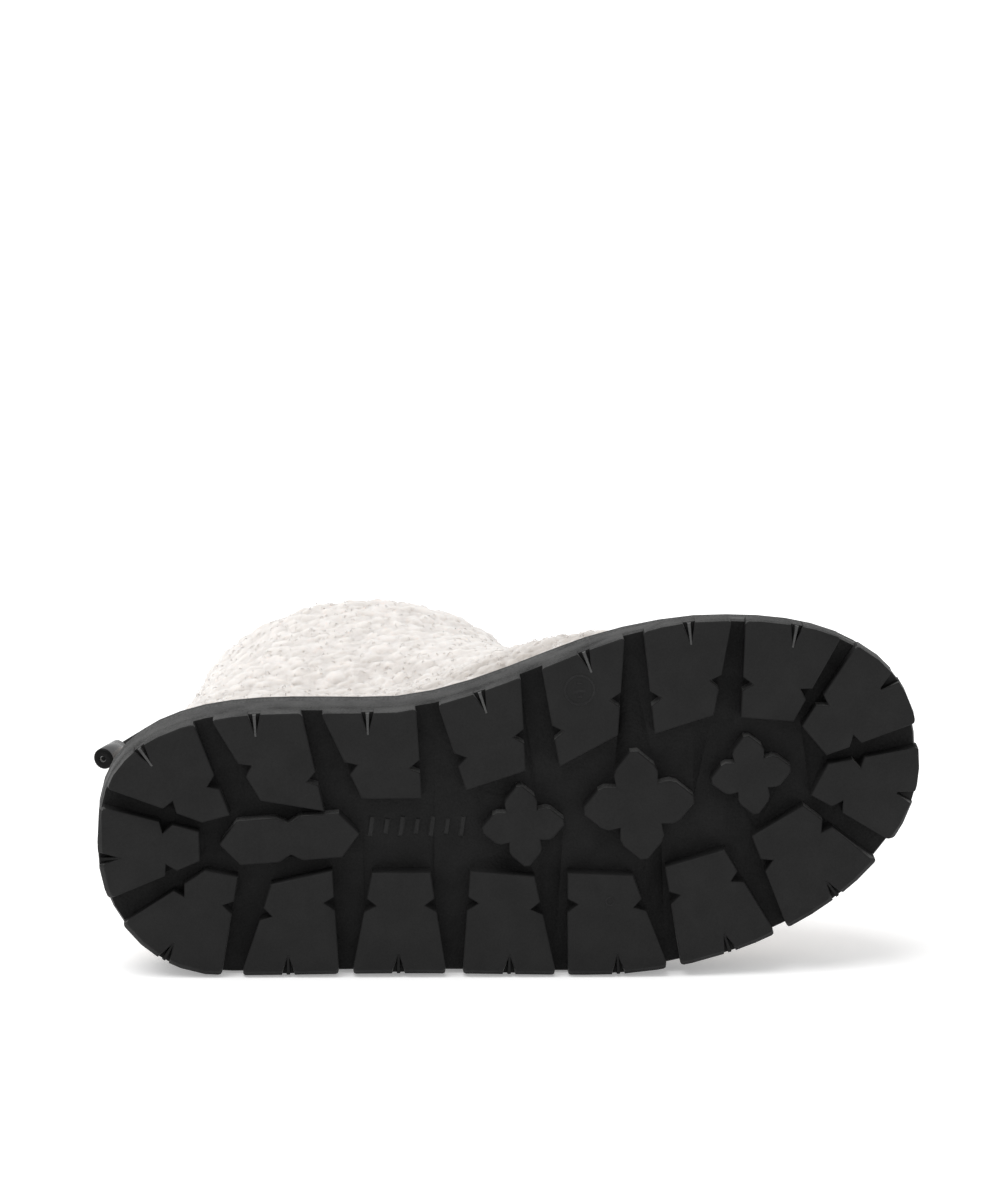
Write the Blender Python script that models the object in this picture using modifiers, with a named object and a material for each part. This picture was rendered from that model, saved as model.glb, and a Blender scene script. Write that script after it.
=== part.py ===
"""A woollen ankle boot for the left foot, with a deep lugged rubber sole, lying on its outer side.

The boot is modelled standing in its own frame: +X runs from the heel to the toe, +Z up from the
ground that the tread stands on, and the inner (big-toe) side is -Y. Everything hangs on one empty,
which then lays the boot down until the edge of the sole and the side of the shaft touch the floor.
Widths of the sole are given as a span v, measured from its straight outer edge towards the inner side.
"""

import math

import bmesh
import bpy
from mathutils import Matrix, Vector

# Driving dimensions, in metres
SOLE_LENGTH = 0.271
BALL_WIDTH = 0.119
HEEL_WIDTH = 0.0876
HEEL_THICKNESS = 0.025
FOREFOOT_THICKNESS = 0.021
TOE_SPRING = 0.013
LUG_DEPTH = 0.0065
TOE_STEP = 0.0008
GROOVE_WIDTH = 0.006
NOTCH_DEPTH = 0.0036
SIPE_DEPTH = 0.0062
SIPE_WIDTH = 0.0042
SIPE_FLOOR = 0.0028
OUTER_FLARE = 0.0014
RIM_DRAFT = 0.0016
RIM_RISE = 0.0022
LUG_CORNER = 0.0011
LUG_INSET = 0.0003
FOREFOOT_DRAFT = 0.0022
SIDE_GROOVE = 0.0007
QUATREFOIL_SPAN = 0.0376
HEEL_BAR_LENGTH = 0.046
HEEL_BAR_WIDTH = 0.0148
SHAFT_HEIGHT = 0.127
COLLAR_LENGTH = 0.1235
COLLAR_WIDTH = 0.096
COLLAR_BACK = 0.0285
UPPER_WALL = 0.005
UPPER_BULGE = 0.0030
UPPER_SWELL = 0.0075
WELT_LEDGE = 0.0044
INSOLE_THICKNESS = 0.0045
CORD_DIAMETER = 0.0032
CORD_END_DIAMETER = 0.0073
CORD_END_LENGTH = 0.0125
GAP = 0.0003
SIPE_MARGIN = 0.0003
BLOCK_REACH = LUG_DEPTH * 1.35

# Where the outline of the sole changes, as shares of its length and of its width at the ball
HEEL_TIP = 0.355
TOE_TIP = 0.553
HEEL_ROUND = 0.152
INNER_HEEL_ROUND = 0.26
WAIST_START = 0.336
INNER_BALL = 0.742
INNER_PEAK = 0.99
OUTER_BALL = 0.605
SPRING_START = 0.62
WAIST_HOLLOW = 0.005
SHAFT_AXIS = 0.40
COLLAR_FULLNESS = 0.90
SWELL_PLACE = 0.50
SWELL_REACH = 0.20

# Resolution: stations along half an outline
SOLE_STATIONS = 34
UPPER_STATIONS = 27

# The side of the sole from the lugs up: share of its height, and stand-out in units of SIDE_GROOVE
SIDE_PROFILE = (
    # height, stand_out
    (0.00, -1.0),
    (0.10, 0.0),
    (0.66, 0.0),
    (0.71, -1.0),
    (0.78, -1.0),
    (0.83, 0.4),
    (0.96, 0.4),
    (1.00, -0.6),
)

# Grooves of the tread, clockwise from the back of the heel. The outer and inner ends are shares of
# SOLE_LENGTH along and BALL_WIDTH across, and the gaps there are in units of GROOVE_WIDTH.
GROOVES = (
    # outer_x, outer_v, inner_x, inner_v, outer_gap, inner_gap
    (0.009, 0.495, 0.126, 0.412, 1.1, 0.55),
    (0.124, 0.730, 0.180, 0.466, 0.9, 1.85),
    (0.259, 0.735, 0.298, 0.475, 1.0, 2.15),
    (0.398, 0.765, 0.420, 0.504, 1.15, 2.45),
    (0.524, 0.861, 0.539, 0.576, 1.15, 1.85),
    (0.648, 0.966, 0.652, 0.672, 1.0, 2.0),
    (0.775, 0.998, 0.762, 0.720, 0.75, 1.5),
    (0.907, 0.910, 0.848, 0.694, 1.0, 0.55),
    (0.993, 0.646, 0.885, 0.590, 1.35, 0.5),
    (0.953, 0.333, 0.861, 0.477, 1.4, 0.7),
    (0.828, 0.124, 0.777, 0.363, 0.85, 1.65),
    (0.698, 0.034, 0.669, 0.286, 0.85, 1.8),
    (0.563, 0.008, 0.550, 0.277, 0.75, 1.8),
    (0.433, 0.013, 0.428, 0.286, 1.0, 2.15),
    (0.302, 0.013, 0.309, 0.286, 0.85, 2.15),
    (0.165, 0.008, 0.191, 0.261, 1.15, 1.85),
    (0.030, 0.181, 0.128, 0.303, 1.5, 0.6),
)
NOTCH_PLACE = 0.66
NOTCH_REACH = 0.07

# Four-armed studs of the forefoot: place as shares, span in units of QUATREFOIL_SPAN, turn in degrees
QUATREFOILS = (
    # x, v, span, turn
    (0.516, 0.414, 0.742, 6.0),
    (0.656, 0.472, 1.000, 6.0),
    (0.792, 0.553, 0.728, 8.0),
)
# One side of an arm from the inner corner to its tip, as shares of half the span
ARM = ((0.36, 0.36), (0.385, 0.57), (0.34, 0.69), (0.07, 0.965))
# The heel's double bar, one end from its waist to its tip, as shares of half its length and width
BAR_END = ((0.0, 0.70), (0.17, 1.0), (0.73, 1.0), (1.0, 0.0))
HEEL_BAR_PLACE = (0.2335, 0.378)
HEEL_BAR_TURN = 4.5

# The upper from below the lasting edge to the collar: how far each ring has gathered from the foot's
# outline to the collar's oval, its rise at back and front in units of SHAFT_HEIGHT, how far it stands
# out at back and front in units of UPPER_BULGE, how much the instep narrows the oval, and how far the
# inner side swells over the waist in units of UPPER_SWELL
UPPER_RINGS = (
    # gather, back_rise, front_rise, back_out, front_out, narrow, swell
    (0.00, -0.060, -0.060, 0.00, 0.00, 0.00, 0.00),
    (0.00, 0.000, 0.000, 0.00, 0.00, 0.00, 0.00),
    (0.00, 0.040, 0.038, 0.15, 0.15, 0.00, 0.00),
    (0.00, 0.095, 0.088, 0.10, 0.00, 0.00, 0.35),
    (0.01, 0.160, 0.150, -0.25, -0.60, 0.00, 0.80),
    (0.03, 0.230, 0.212, -0.70, -1.60, 0.00, 1.00),
    (0.09, 0.300, 0.268, -1.30, -2.80, 0.08, 1.00),
    (0.18, 0.360, 0.318, -1.70, -3.90, 0.20, 0.80),
    (0.30, 0.410, 0.370, -1.70, -4.50, 0.28, 0.50),
    (0.43, 0.460, 0.432, -1.20, -4.30, 0.30, 0.25),
    (0.56, 0.510, 0.505, -0.70, -3.60, 0.30, 0.10),
    (0.68, 0.570, 0.590, -0.30, -2.60, 0.27, 0.00),
    (0.79, 0.640, 0.688, 0.00, -1.60, 0.21, 0.00),
    (0.88, 0.720, 0.785, 0.00, -0.80, 0.13, 0.00),
    (0.95, 0.800, 0.868, 0.00, 0.00, 0.06, 0.00),
    (0.99, 0.885, 0.935, 0.20, 0.20, 0.00, 0.00),
    (1.00, 0.960, 0.982, 0.20, 0.20, 0.00, 0.00),
    (1.00, 1.000, 1.008, -0.45, -0.45, 0.00, 0.00),
)

# The pull cord, from its knot inside the collar, out through the wall and down behind the heel.
# Points in the boot's own frame, chosen by hand; the girth is in units of the cord's diameter
CORD_ROUTE = (
    # x, y, z, girth
    (0.0382, -0.0070, 0.1332, 1.20),
    (0.0372, -0.0072, 0.1332, 1.70),
    (0.0358, -0.0074, 0.1332, 1.70),
    (0.0348, -0.0075, 0.1332, 1.00),
    (0.0284, -0.0080, 0.1332, 1.00),
    (0.0245, -0.0084, 0.1326, 1.00),
    (0.0208, -0.0086, 0.1302, 1.00),
    (0.0173, -0.0084, 0.1262, 1.00),
    (0.0143, -0.0079, 0.1214, 1.00),
    (0.0114, -0.0073, 0.1162, 1.00),
    (0.0085, -0.0067, 0.1103, 1.00),
    (0.0057, -0.0062, 0.1038, 1.00),
    (0.0039, -0.0059, 0.0996, 1.00),
)

RUBBER = (0.018, 0.018, 0.018)
WOOL = (0.80, 0.77, 0.72)
FLEECE = (0.74, 0.70, 0.64)
BLACK = (0.012, 0.012, 0.013)


def mix(a, b, t):
    """The value a share t of the way from a to b."""
    return a + (b - a) * t


def smooth(t):
    """A share eased at both ends."""
    t = min(max(t, 0.0), 1.0)
    return t * t * (3 - 2 * t)


def rounding(t, power):
    """A quarter of a superellipse: 1 at t = 0, falling to 0 at t = 1."""
    t = min(max(t, 0.0), 1.0)
    return (1 - t**power) ** (1 / power)


def place(x, v):
    """A point of the sole's plan in the boot's frame, from its place along and its span v."""
    return Vector((x, SHAFT_AXIS * BALL_WIDTH - v))


def inner_edge(x):
    """The span v of the sole's inner edge: heel, waist and ball."""
    s = x / SOLE_LENGTH
    tip_back, tip_front = HEEL_TIP * BALL_WIDTH, TOE_TIP * BALL_WIDTH
    if s < INNER_HEEL_ROUND:
        return mix(tip_back, HEEL_WIDTH, rounding(1 - s / INNER_HEEL_ROUND, 2.7))
    if s > INNER_BALL:
        return mix(tip_front, INNER_PEAK * BALL_WIDTH, rounding((s - INNER_BALL) / (1 - INNER_BALL), 2.5))
    rise = smooth((s - WAIST_START) / (INNER_BALL - WAIST_START))
    return mix(HEEL_WIDTH, INNER_PEAK * BALL_WIDTH, rise)


def outer_edge(x):
    """The span v of the sole's outer edge, which is nearly straight from the heel to the ball."""
    s = x / SOLE_LENGTH
    tip_back, tip_front = HEEL_TIP * BALL_WIDTH, TOE_TIP * BALL_WIDTH
    if s < HEEL_ROUND:
        return mix(tip_back, -OUTER_FLARE, rounding(1 - s / HEEL_ROUND, 2.02))
    if s > OUTER_BALL:
        return mix(tip_front, -OUTER_FLARE, rounding((s - OUTER_BALL) / (1 - OUTER_BALL), 1.89))
    hollow = WAIST_HOLLOW * BALL_WIDTH
    return hollow * math.sin(math.pi * (s - HEEL_ROUND) / (OUTER_BALL - HEEL_ROUND)) ** 2 - OUTER_FLARE


def outline(stations):
    """The sole's outline as a loop: heel tip, inner side to the toe tip, outer side back."""
    along = [SOLE_LENGTH * (1 - math.cos(math.pi * i / stations)) / 2 for i in range(stations + 1)]
    inner = [place(x, inner_edge(x)) for x in along]
    outer = [place(x, outer_edge(x)) for x in along[1:-1]]
    return inner + outer[::-1]


def moved_out(loop, distances):
    """The loop with each point moved along its outward normal."""
    moved = []
    for i, point in enumerate(loop):
        tangent = loop[(i + 1) % len(loop)] - loop[i - 1]
        outward = Vector((tangent.y, -tangent.x)).normalized()
        moved.append(point + outward * distances[i])
    return moved


def spring(x):
    """How far the toe spring has lifted the sole at x."""
    start = SPRING_START * SOLE_LENGTH
    return TOE_SPRING * (max(x - start, 0.0) / (SOLE_LENGTH - start)) ** 2


def sole_top(x):
    """Height of the sole's top face, which falls from the heel seat to the forefoot."""
    fall = smooth((x / SOLE_LENGTH - 0.20) / 0.45)
    return mix(HEEL_THICKNESS, FOREFOOT_THICKNESS, fall) + spring(x)


def lean(x):
    """How far the top edge of the sole stands inside its outline; the side is upright at the heel."""
    return FOREFOOT_DRAFT * smooth((x / SOLE_LENGTH - 0.56) / 0.16)


def lug_inset(p):
    """How far the lugs stand inside the outline: on the inner side and the back, but not at the toe."""
    inner = smooth((0.01 - p.y) / 0.03)
    return LUG_INSET * (1 - smooth((p.x / SOLE_LENGTH - 0.55) / 0.2)) * max(inner, 1 - p.x / 0.02)


def slab_inset(x):
    """How far the slab's lower edge stands inside the outline: at the toe only."""
    return TOE_STEP * smooth((x / SOLE_LENGTH - 0.55) / 0.2)


def top_loop(stations, inset):
    """The outline of the sole's top face, moved in by an inset."""
    loop = outline(stations)
    return moved_out(loop, [-lean(p.x) - inset for p in loop])


def new_object(name, mesh, colour, roughness, metallic=0.0):
    """A named object in the boot's collection, with a material of its own."""
    material = bpy.data.materials.new(name)
    material.use_nodes = True
    shader = material.node_tree.nodes["Principled BSDF"]
    shader.inputs["Base Color"].default_value = (*colour, 1)
    shader.inputs["Roughness"].default_value = roughness
    shader.inputs["Metallic"].default_value = metallic
    mesh.materials.clear()
    mesh.materials.append(material)
    made = bpy.data.objects.new(name, mesh)
    bpy.data.collections["wool_boot"].objects.link(made)
    return made


def helper(name, mesh):
    """A cutter or a joined shape: kept out of the render."""
    made = bpy.data.objects.new(name, mesh)
    made.hide_render = True
    made.display_type = "WIRE"
    bpy.data.collections["helpers"].objects.link(made)
    return made


def loft(name, rings, open_ends=False):
    """A mesh through rings of equal count. Its ends close in strips from side to side."""
    shape = bmesh.new()
    rows = [[shape.verts.new(p) for p in ring] for ring in rings]
    count = len(rows[0])
    for low, high in zip(rows, rows[1:]):
        for i in range(count):
            k = (i + 1) % count
            shape.faces.new((low[i], low[k], high[k], high[i]))
    if not open_ends:
        for row in (rows[0], rows[-1]):
            tip = count // 2
            shape.faces.new((row[-1], row[0], row[1]))
            shape.faces.new((row[tip - 1], row[tip], row[tip + 1]))
            for i in range(1, tip - 1):
                shape.faces.new((row[i], row[i + 1], row[-i - 1], row[-i]))
    bmesh.ops.recalc_face_normals(shape, faces=shape.faces)
    mesh = bpy.data.meshes.new(name)
    shape.to_mesh(mesh)
    shape.free()
    return mesh


def prisms(name, stacks):
    """One mesh of upright blocks on the tread, each a stack of outlines and their heights above it."""
    shape = bmesh.new()
    for stack in stacks:
        rows = []
        for points, height in stack:
            rows.append([shape.verts.new((p.x, p.y, spring(p.x) + height)) for p in points])
        shape.faces.new(rows[0])
        shape.faces.new(rows[-1][::-1])
        for low, high in zip(rows, rows[1:]):
            for i in range(len(low)):
                shape.faces.new((low[i - 1], low[i], high[i], high[i - 1]))
    bmesh.ops.recalc_face_normals(shape, faces=shape.faces)
    mesh = bpy.data.meshes.new(name)
    shape.to_mesh(mesh)
    shape.free()
    return mesh


def combine(target, other, operation):
    """Joins or cuts the target with another object, once and for all."""
    step = target.modifiers.new(operation.lower(), "BOOLEAN")
    step.operation = operation
    step.object = other
    step.use_self = operation == "UNION"
    settle(target)


def settle(target):
    """Makes the target's modifiers part of its mesh."""
    bpy.context.view_layer.update()
    graph = bpy.context.evaluated_depsgraph_get()
    mesh = bpy.data.meshes.new_from_object(target.evaluated_get(graph))
    target.modifiers.clear()
    target.data = mesh


def crossing(loop, inside, towards):
    """Where the line from a point inside the loop meets it: place along the loop, and point."""
    way = towards - inside
    for i, a in enumerate(loop):
        side = loop[(i + 1) % len(loop)] - a
        turn = way.x * side.y - way.y * side.x
        if abs(turn) < 1e-12:
            continue
        reach = ((a.x - inside.x) * side.y - (a.y - inside.y) * side.x) / turn
        share = ((a.x - inside.x) * way.y - (a.y - inside.y) * way.x) / turn
        if reach > 0 and 0 <= share < 1:
            return i + share, a + side * share
    raise ValueError("a groove misses the outline")


def groove_side(loop, row, hand):
    """One side of a groove: its place on the outline, and its points from there inwards."""
    outer_x, outer_v, inner_x, inner_v, outer_gap, inner_gap = row
    outer = place(outer_x * SOLE_LENGTH, outer_v * BALL_WIDTH)
    inner = place(inner_x * SOLE_LENGTH, inner_v * BALL_WIDTH)
    way = (inner - outer).normalized()
    across = Vector((-way.y, way.x)) * hand

    def at(share, extra=0.0):
        half = mix(outer_gap, inner_gap, share) * GROOVE_WIDTH / 2
        return outer.lerp(inner, share) + across * (half + extra)

    where, start = crossing(loop, at(1.0), at(0.0))
    notch = [at(NOTCH_PLACE - NOTCH_REACH), at(NOTCH_PLACE, NOTCH_DEPTH), at(NOTCH_PLACE + NOTCH_REACH)]
    return where, [start, *notch, at(1.0)]


def along_loop(loop, start, end):
    """Points of the loop strictly between two places on it, going forward."""
    count = len(loop)
    end = end if end > start else end + count
    return [loop[i % count] for i in range(math.floor(start) + 1, math.ceil(end))]


def point_at(loop, where):
    """The point at a place along the loop."""
    i = math.floor(where)
    return loop[i % len(loop)].lerp(loop[(i + 1) % len(loop)], where - i)


def sipe(loop, start, end):
    """The short slit in the middle of a lug's outer edge: its two mouth places, and its points."""
    end = end if end > start else end + len(loop)
    middle = (start + end) / 2
    centre = point_at(loop, middle)
    ahead = (point_at(loop, middle + 0.5) - point_at(loop, middle - 0.5)).normalized()
    inward = Vector((-ahead.y, ahead.x))
    inward = inward if inward.dot(Vector((SOLE_LENGTH / 2, 0)) - centre) > 0 else -inward
    floor_half = SIPE_WIDTH / 14
    mouth = [centre - ahead * SIPE_WIDTH / 2, centre + ahead * SIPE_WIDTH / 2]
    deep = inward * SIPE_DEPTH
    bottom = [centre - ahead * floor_half + deep, centre + ahead * floor_half + deep]
    return [mouth[0], *bottom, mouth[1]]


def drawn_in(p):
    """A point of a lug's outer edge where it meets the ground, drawn in from the outline."""
    centre = Vector((min(max(p.x, HEEL_WIDTH / 2), SOLE_LENGTH - BALL_WIDTH / 2), 0))
    inner = smooth((0.01 - p.y) / 0.03)
    return p + (centre - p).normalized() * RIM_DRAFT * mix(1.0, 0.12, inner)


def eased(corner, before, after):
    """A lug's corner at the outline, rounded between its two sides."""
    a = corner + (before - corner).normalized() * LUG_CORNER
    b = corner + (after - corner).normalized() * LUG_CORNER
    return [a, corner.lerp((a + b) / 2, 0.586), b]


def lug_stacks():
    """The blocks round the edge of the tread, one between each two grooves, each with its sipe's floor."""
    plain = outline(SOLE_STATIONS)
    loop = moved_out(plain, [-lug_inset(p) for p in plain])
    found = []
    for row, following in zip(GROOVES, GROOVES[1:] + GROOVES[:1]):
        start, first = groove_side(loop, row, -1)
        end, last = groove_side(loop, following, 1)
        slit = sipe(loop, start, end)
        far = end if end > start else end + len(loop)
        reach = SIPE_WIDTH * 0.75
        middle = point_at(loop, (start + far) / 2)
        edge = along_loop(loop, start, end)
        whole = [p for p in edge if (p - middle).length > reach]
        before = [p for p in whole if (p - first[0]).length < (p - last[0]).length]
        after = [p for p in whole if p not in before]
        clear = [p for p in before if (p - first[0]).length > reach / 2]
        clear_after = [p for p in after if (p - last[0]).length > reach / 2]
        outer = [*clear, *slit, *clear_after]
        sides = first[:0:-1], last[1:]
        outer = [*eased(first[0], first[1], outer[0]), *outer, *eased(last[0], outer[-1], last[1])]
        foot = [p if p in slit[1:3] else drawn_in(p) for p in outer]
        ground = [*sides[0], *foot, *sides[1]]
        full = [*sides[0], *outer, *sides[1]]
        found.append([(ground, 0.0), (full, RIM_RISE), (full, BLOCK_REACH)])
        middle_floor = (slit[1] + slit[2]) / 2
        inward = (middle_floor - (slit[0] + slit[3]) / 2).normalized() * SIPE_MARGIN
        aside = (slit[3] - slit[0]).normalized() * SIPE_MARGIN
        wedge = [p - aside + inward for p in slit[:2]] + [p + aside + inward for p in slit[2:]]
        found.append([(wedge, SIPE_FLOOR), (wedge, BLOCK_REACH)])
    return found


def turned(points, centre, degrees):
    """Points turned about the origin and then moved to a centre."""
    turn = Matrix.Rotation(math.radians(degrees), 2)
    return [turn @ p + centre for p in points]


def quatrefoil(x, v, span, turn):
    """A stud with four pointed arms."""
    half = span * QUATREFOIL_SPAN / 2
    arm = [Vector((a, b)) for a, b in ARM]
    arm += [Vector((-a, b)) for a, b in ARM[:0:-1]]
    points = []
    for quarter in range(4):
        points += turned([p * half for p in arm], Vector((0, 0)), 90 * quarter)
    return turned(points, place(x * SOLE_LENGTH, v * BALL_WIDTH), -turn)


def heel_bar():
    """The double bar in the middle of the heel, narrow at its waist."""
    half = Vector((HEEL_BAR_LENGTH / 2, HEEL_BAR_WIDTH / 2))
    quarter = [Vector((a * half.x, b * half.y)) for a, b in BAR_END]
    upper = [Vector((-p.x, p.y)) for p in quarter[:0:-1]] + quarter
    lower = [Vector((p.x, -p.y)) for p in upper[-2:0:-1]]
    centre = place(HEEL_BAR_PLACE[0] * SOLE_LENGTH, HEEL_BAR_PLACE[1] * BALL_WIDTH)
    return turned(upper + lower, centre, -HEEL_BAR_TURN)


def make_outsole():
    """The rubber unit: a slab with its moulded side, and the lugs and studs fused below it."""
    loop = outline(SOLE_STATIONS)
    rings = []
    for height, stand_out in SIDE_PROFILE:
        step = [stand_out * SIDE_GROOVE - mix(slab_inset(p.x), lean(p.x), height) for p in loop]
        ring = moved_out(loop, step)
        rings.append([(q.x, q.y, mix(LUG_DEPTH + spring(q.x), sole_top(q.x), height)) for q in ring])
    outsole = new_object("outsole", loft("outsole", rings), RUBBER, 0.75)
    studs = [quatrefoil(*row) for row in QUATREFOILS] + [heel_bar()]
    stacks = lug_stacks() + [[(points, 0.0), (points, BLOCK_REACH)] for points in studs]
    combine(outsole, helper("tread_blocks", prisms("tread_blocks", stacks)), "UNION")
    return outsole


def swelling(p):
    """How much of the swell a point of the outline takes: on the inner side, over the waist."""
    near = smooth(1 - abs(p.x / SOLE_LENGTH - SWELL_PLACE) / SWELL_REACH)
    return near * smooth(-p.y / (HEEL_WIDTH / 4))


def upper_ring(gather, back_rise, front_rise, back_out, front_out, narrow, swell):
    """One ring of the upper, between the foot's outline and the collar's oval."""
    plain = top_loop(UPPER_STATIONS, 0.0)
    ahead = [(1 - math.cos(math.pi * i / UPPER_STATIONS)) / 2 for i in range(len(plain))]
    out = [mix(back_out, front_out, smooth(share)) * UPPER_BULGE for share in ahead]
    bulge = [swell * UPPER_SWELL * swelling(p) for p in plain]
    foot = moved_out(plain, [step - WELT_LEDGE + more for step, more in zip(out, bulge)])
    ring = []
    for i, p in enumerate(foot):
        angle = math.pi * i / UPPER_STATIONS
        edge = max(out[i], -UPPER_BULGE / 2) * smooth(gather)
        half_length = COLLAR_LENGTH / 2 + edge
        half_width = (COLLAR_WIDTH / 2 + edge) * (1 - narrow * smooth((ahead[i] - 0.3) / 0.5))
        centre_x = COLLAR_BACK + COLLAR_LENGTH / 2
        fullness = COLLAR_FULLNESS if math.cos(angle) > 0 and math.sin(angle) > 0 else 1.0
        around = math.copysign(abs(math.sin(angle)) ** fullness, math.sin(angle))
        oval = Vector((centre_x - half_length * math.cos(angle), -half_width * around))
        q = p.lerp(oval, gather)
        rise = mix(back_rise, front_rise, ahead[i]) * SHAFT_HEIGHT
        ring.append((q.x, q.y, mix(sole_top(p.x), HEEL_THICKNESS, gather) + rise))
    return ring


def make_upper():
    """The wool shell: one wall from the lasting edge to the collar, open above and below."""
    rings = [upper_ring(*row) for row in UPPER_RINGS]
    upper = new_object("upper", loft("upper", rings, open_ends=True), WOOL, 0.95)
    wall = upper.modifiers.new("wall", "SOLIDIFY")
    wall.thickness = UPPER_WALL
    wall.offset = -1
    wall.use_even_offset = True
    settle(upper)
    loop = moved_out(outline(UPPER_STATIONS), [0.02] * (2 * UPPER_STATIONS))
    seat = [[(p.x, p.y, z) for p in loop] for z in (-0.02,)]
    seat.append([(p.x, p.y, sole_top(p.x) + GAP) for p in loop])
    combine(upper, helper("lasting_plane", loft("lasting_plane", seat)), "DIFFERENCE")
    combine(upper, helper("cord_hole", cord_hole()), "DIFFERENCE")
    return upper


def cord_hole():
    """A drill through the wall of the collar for the pull cord."""
    inside, outside = Vector(CORD_ROUTE[3][:3]), Vector(CORD_ROUTE[4][:3])
    turn = (outside - inside).to_track_quat("Z", "Y").to_matrix().to_4x4()
    shape = bmesh.new()
    bmesh.ops.create_cone(
        shape,
        cap_ends=True,
        segments=16,
        radius1=CORD_DIAMETER / 2 + 2 * GAP,
        radius2=CORD_DIAMETER / 2 + 2 * GAP,
        depth=UPPER_WALL * 4,
        matrix=Matrix.Translation(outside) @ turn,
    )
    mesh = bpy.data.meshes.new("cord_hole")
    shape.to_mesh(mesh)
    shape.free()
    return mesh


def make_insole():
    """The fleece insole, loose inside the upper."""
    inset = WELT_LEDGE + UPPER_WALL + 4 * GAP
    rings = []
    for share, more in ((0.0, 0.0006), (0.2, 0.0), (0.8, 0.0), (1.0, 0.0012)):
        loop = top_loop(UPPER_STATIONS, inset + more)
        rise = GAP + share * INSOLE_THICKNESS
        rings.append([(p.x, p.y, sole_top(p.x) + rise) for p in loop])
    return new_object("insole", loft("insole", rings), FLEECE, 0.95)


def make_cord():
    """The round pull cord with its knot, from inside the collar to the moulded end."""
    route = [Vector(row) for row in CORD_ROUTE]
    fine = []
    for i in range(len(route) - 1):
        a, b = route[i], route[i + 1]
        before, after = route[max(i - 1, 0)], route[min(i + 2, len(route) - 1)]
        for share in (0.0, 0.5) if i > 3 else (0.0,):
            bend = 2 * a + (b - before) * share + (2 * before - 5 * a + 4 * b - after) * share**2
            fine.append((bend + (3 * a - before - 3 * b + after) * share**3) / 2)
    fine.append(route[-1])
    curve = bpy.data.curves.new("pull_cord", "CURVE")
    curve.dimensions = "3D"
    curve.fill_mode = "FULL"
    curve.bevel_depth = CORD_DIAMETER / 2
    curve.bevel_resolution = 2
    curve.use_fill_caps = True
    line = curve.splines.new("POLY")
    line.points.add(len(fine) - 1)
    for point, row in zip(line.points, fine):
        point.co = (row[0], row[1], row[2], 1.0)
        point.radius = row[3]
    return new_object("pull_cord", curve, BLACK, 0.8)


def make_cord_end():
    """The moulded cylinder on the end of the cord, with a dimple in its end face."""
    before, start = Vector(CORD_ROUTE[-2][:3]), Vector(CORD_ROUTE[-1][:3])
    out = (start - before).normalized()
    radius = CORD_END_DIAMETER / 2
    edge = radius * 0.16
    profile = (
        (0.0, CORD_END_LENGTH - edge),
        (radius * 0.22, CORD_END_LENGTH - edge),
        (radius * 0.30, CORD_END_LENGTH),
        (radius - edge, CORD_END_LENGTH),
        (radius, CORD_END_LENGTH - edge),
        (radius, edge),
        (radius - edge, 0.0),
        (0.0, 0.0),
    )
    mesh = bpy.data.meshes.new("cord_end")
    mesh.from_pydata([(r, 0, h) for r, h in profile], [(i, i + 1) for i in range(len(profile) - 1)], [])
    piece = new_object("cord_end", mesh, BLACK, 0.35)
    screw = piece.modifiers.new("turn", "SCREW")
    screw.steps = 24
    screw.render_steps = 24
    screw.use_merge_vertices = True
    screw.merge_threshold = 0.00001
    piece.location = start + out * GAP
    piece.rotation_euler = out.to_track_quat("Z", "Y").to_euler()
    return piece


def world_points(piece, turn):
    """The evaluated vertices of a piece after a turn of the whole boot."""
    graph = bpy.context.evaluated_depsgraph_get()
    evaluated = piece.evaluated_get(graph)
    mesh = evaluated.to_mesh()
    matrix = turn @ evaluated.matrix_world
    points = [matrix @ v.co for v in mesh.vertices]
    evaluated.to_mesh_clear()
    return points


def lay_down(boot, pieces, outsole, upper):
    """Turns the boot onto its outer side until sole and shaft both touch the floor."""
    bpy.context.view_layer.update()

    def lowest(piece, roll):
        turn = Matrix.Rotation(roll, 4, "X")
        return min(p.z for p in world_points(piece, turn))

    low, high = math.radians(-105), math.radians(-75)
    for _ in range(26):
        middle = (low + high) / 2
        if lowest(upper, middle) < lowest(outsole, middle):
            low = middle
        else:
            high = middle
    turn = Matrix.Rotation(high, 4, "X")
    points = [p for piece in pieces for p in world_points(piece, turn)]
    spans = [(min(p[k] for p in points), max(p[k] for p in points)) for k in range(3)]
    boot.rotation_euler = (high, 0, 0)
    boot.location = (-sum(spans[0]) / 2, -sum(spans[1]) / 2, -spans[2][0])


def main():
    for old in list(bpy.data.objects):
        bpy.data.objects.remove(old)
    for name in ("wool_boot", "helpers"):
        bpy.context.scene.collection.children.link(bpy.data.collections.new(name))
    boot = bpy.data.objects.new("boot", None)
    bpy.data.collections["wool_boot"].objects.link(boot)

    outsole = make_outsole()
    upper = make_upper()
    insole = make_insole()
    trim = [make_cord(), make_cord_end()]
    lay_down(boot, [outsole, upper, insole], outsole, upper)
    for piece in [outsole, upper, insole, *trim]:
        piece.parent = boot
        if piece.type == "MESH":
            piece.data.shade_smooth()
            piece.data.set_sharp_from_angle(angle=math.radians(35))


main()
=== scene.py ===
"""Looks of a left wool boot lying on its outer side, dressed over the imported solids.

Axes: +X from heel to toe, +Y from tread to collar, +Z up, towards the boot's inner side.
"""

import math
import random

import bmesh
import bpy
import numpy as np
from mathutils import Matrix, Vector, noise
from mathutils.bvhtree import BVHTree


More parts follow.
